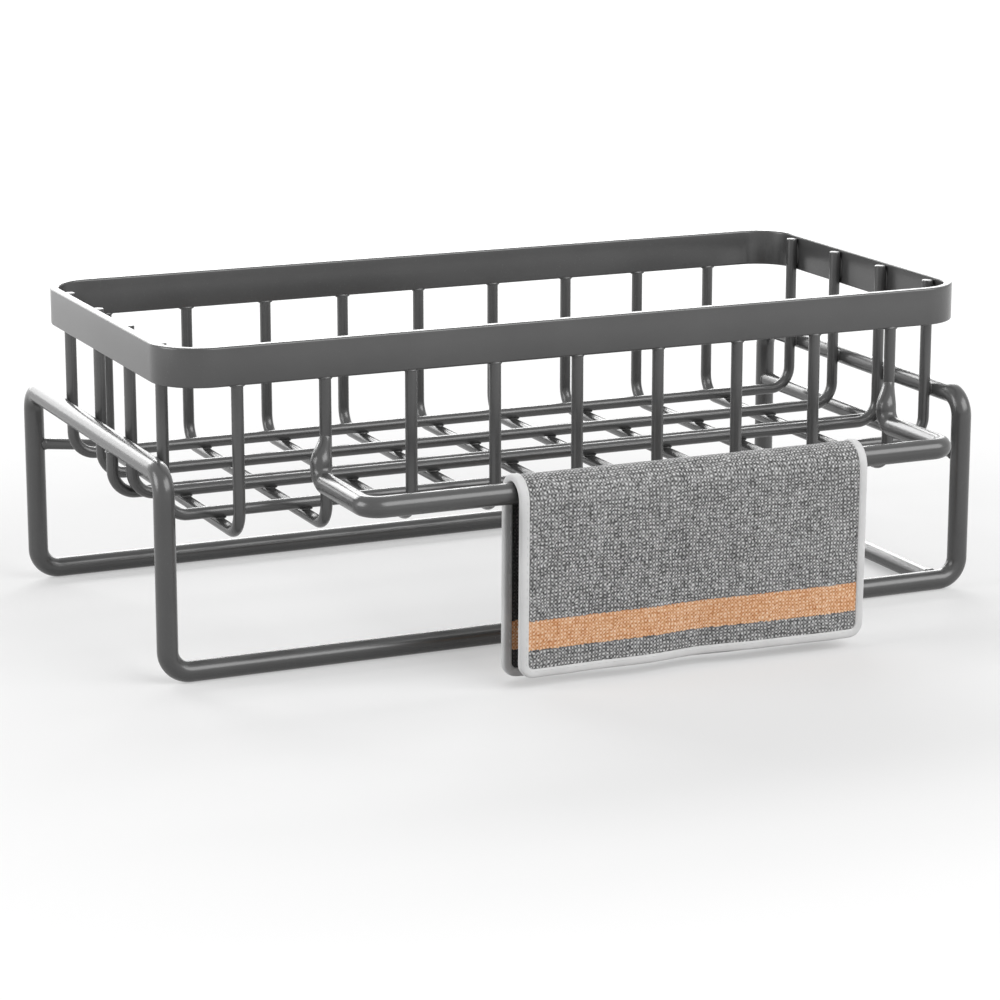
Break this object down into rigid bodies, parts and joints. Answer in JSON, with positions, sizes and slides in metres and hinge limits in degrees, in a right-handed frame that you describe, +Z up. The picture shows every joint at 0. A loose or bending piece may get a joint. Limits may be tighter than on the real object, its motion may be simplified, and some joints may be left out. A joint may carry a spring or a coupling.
{
  "type": "sink caddy",
  "caption": "Wire kitchen sink caddy with a flat band rim, a bent rod stand, a towel rail on the front and a bound dish cloth folded over it.",
  "frame": {"origin": "on the counter, below the middle of the rim", "axes": "+X along the basket to the right, -Y to the front where the towel rail is, +Z up"},
  "size_m": [0.303, 0.2039, 0.11],
  "materials": {
    "powder_coated_steel": "satin",
    "woven_cloth": "woven",
    "edge_binding": "smooth tape"
  },
  "bodies": {
    "caddy": {"rim_band": "powder_coated_steel", "cross_wire_1": "powder_coated_steel", "cross_wire_2": "powder_coated_steel", "cross_wire_3": "powder_coated_steel", "cross_wire_4": "powder_coated_steel", "cross_wire_5": "powder_coated_steel", "cross_wire_6": "powder_coated_steel", "cross_wire_7": "powder_coated_steel", "cross_wire_8": "powder_coated_steel", "cross_wire_9": "powder_coated_steel", "long_wire_1": "powder_coated_steel", "long_wire_2": "powder_coated_steel", "long_wire_3": "powder_coated_steel", "long_wire_4": "powder_coated_steel", "support_wire": "powder_coated_steel", "stand_frame_left": "powder_coated_steel", "stand_frame_right": "powder_coated_steel", "end_crossbar": "powder_coated_steel", "end_stretcher": "powder_coated_steel", "rear_tie": "powder_coated_steel", "towel_rail": "powder_coated_steel"},
    "cloth": {"dish_cloth": "woven_cloth", "cloth_binding": "edge_binding"}
  },
  "joints": [
    {"name": "cloth_slide", "type": "slide", "parent": "caddy", "child": "cloth", "axis": [1, 0, 0], "range_m": [-0.0425, 0.0285]}
  ]
}
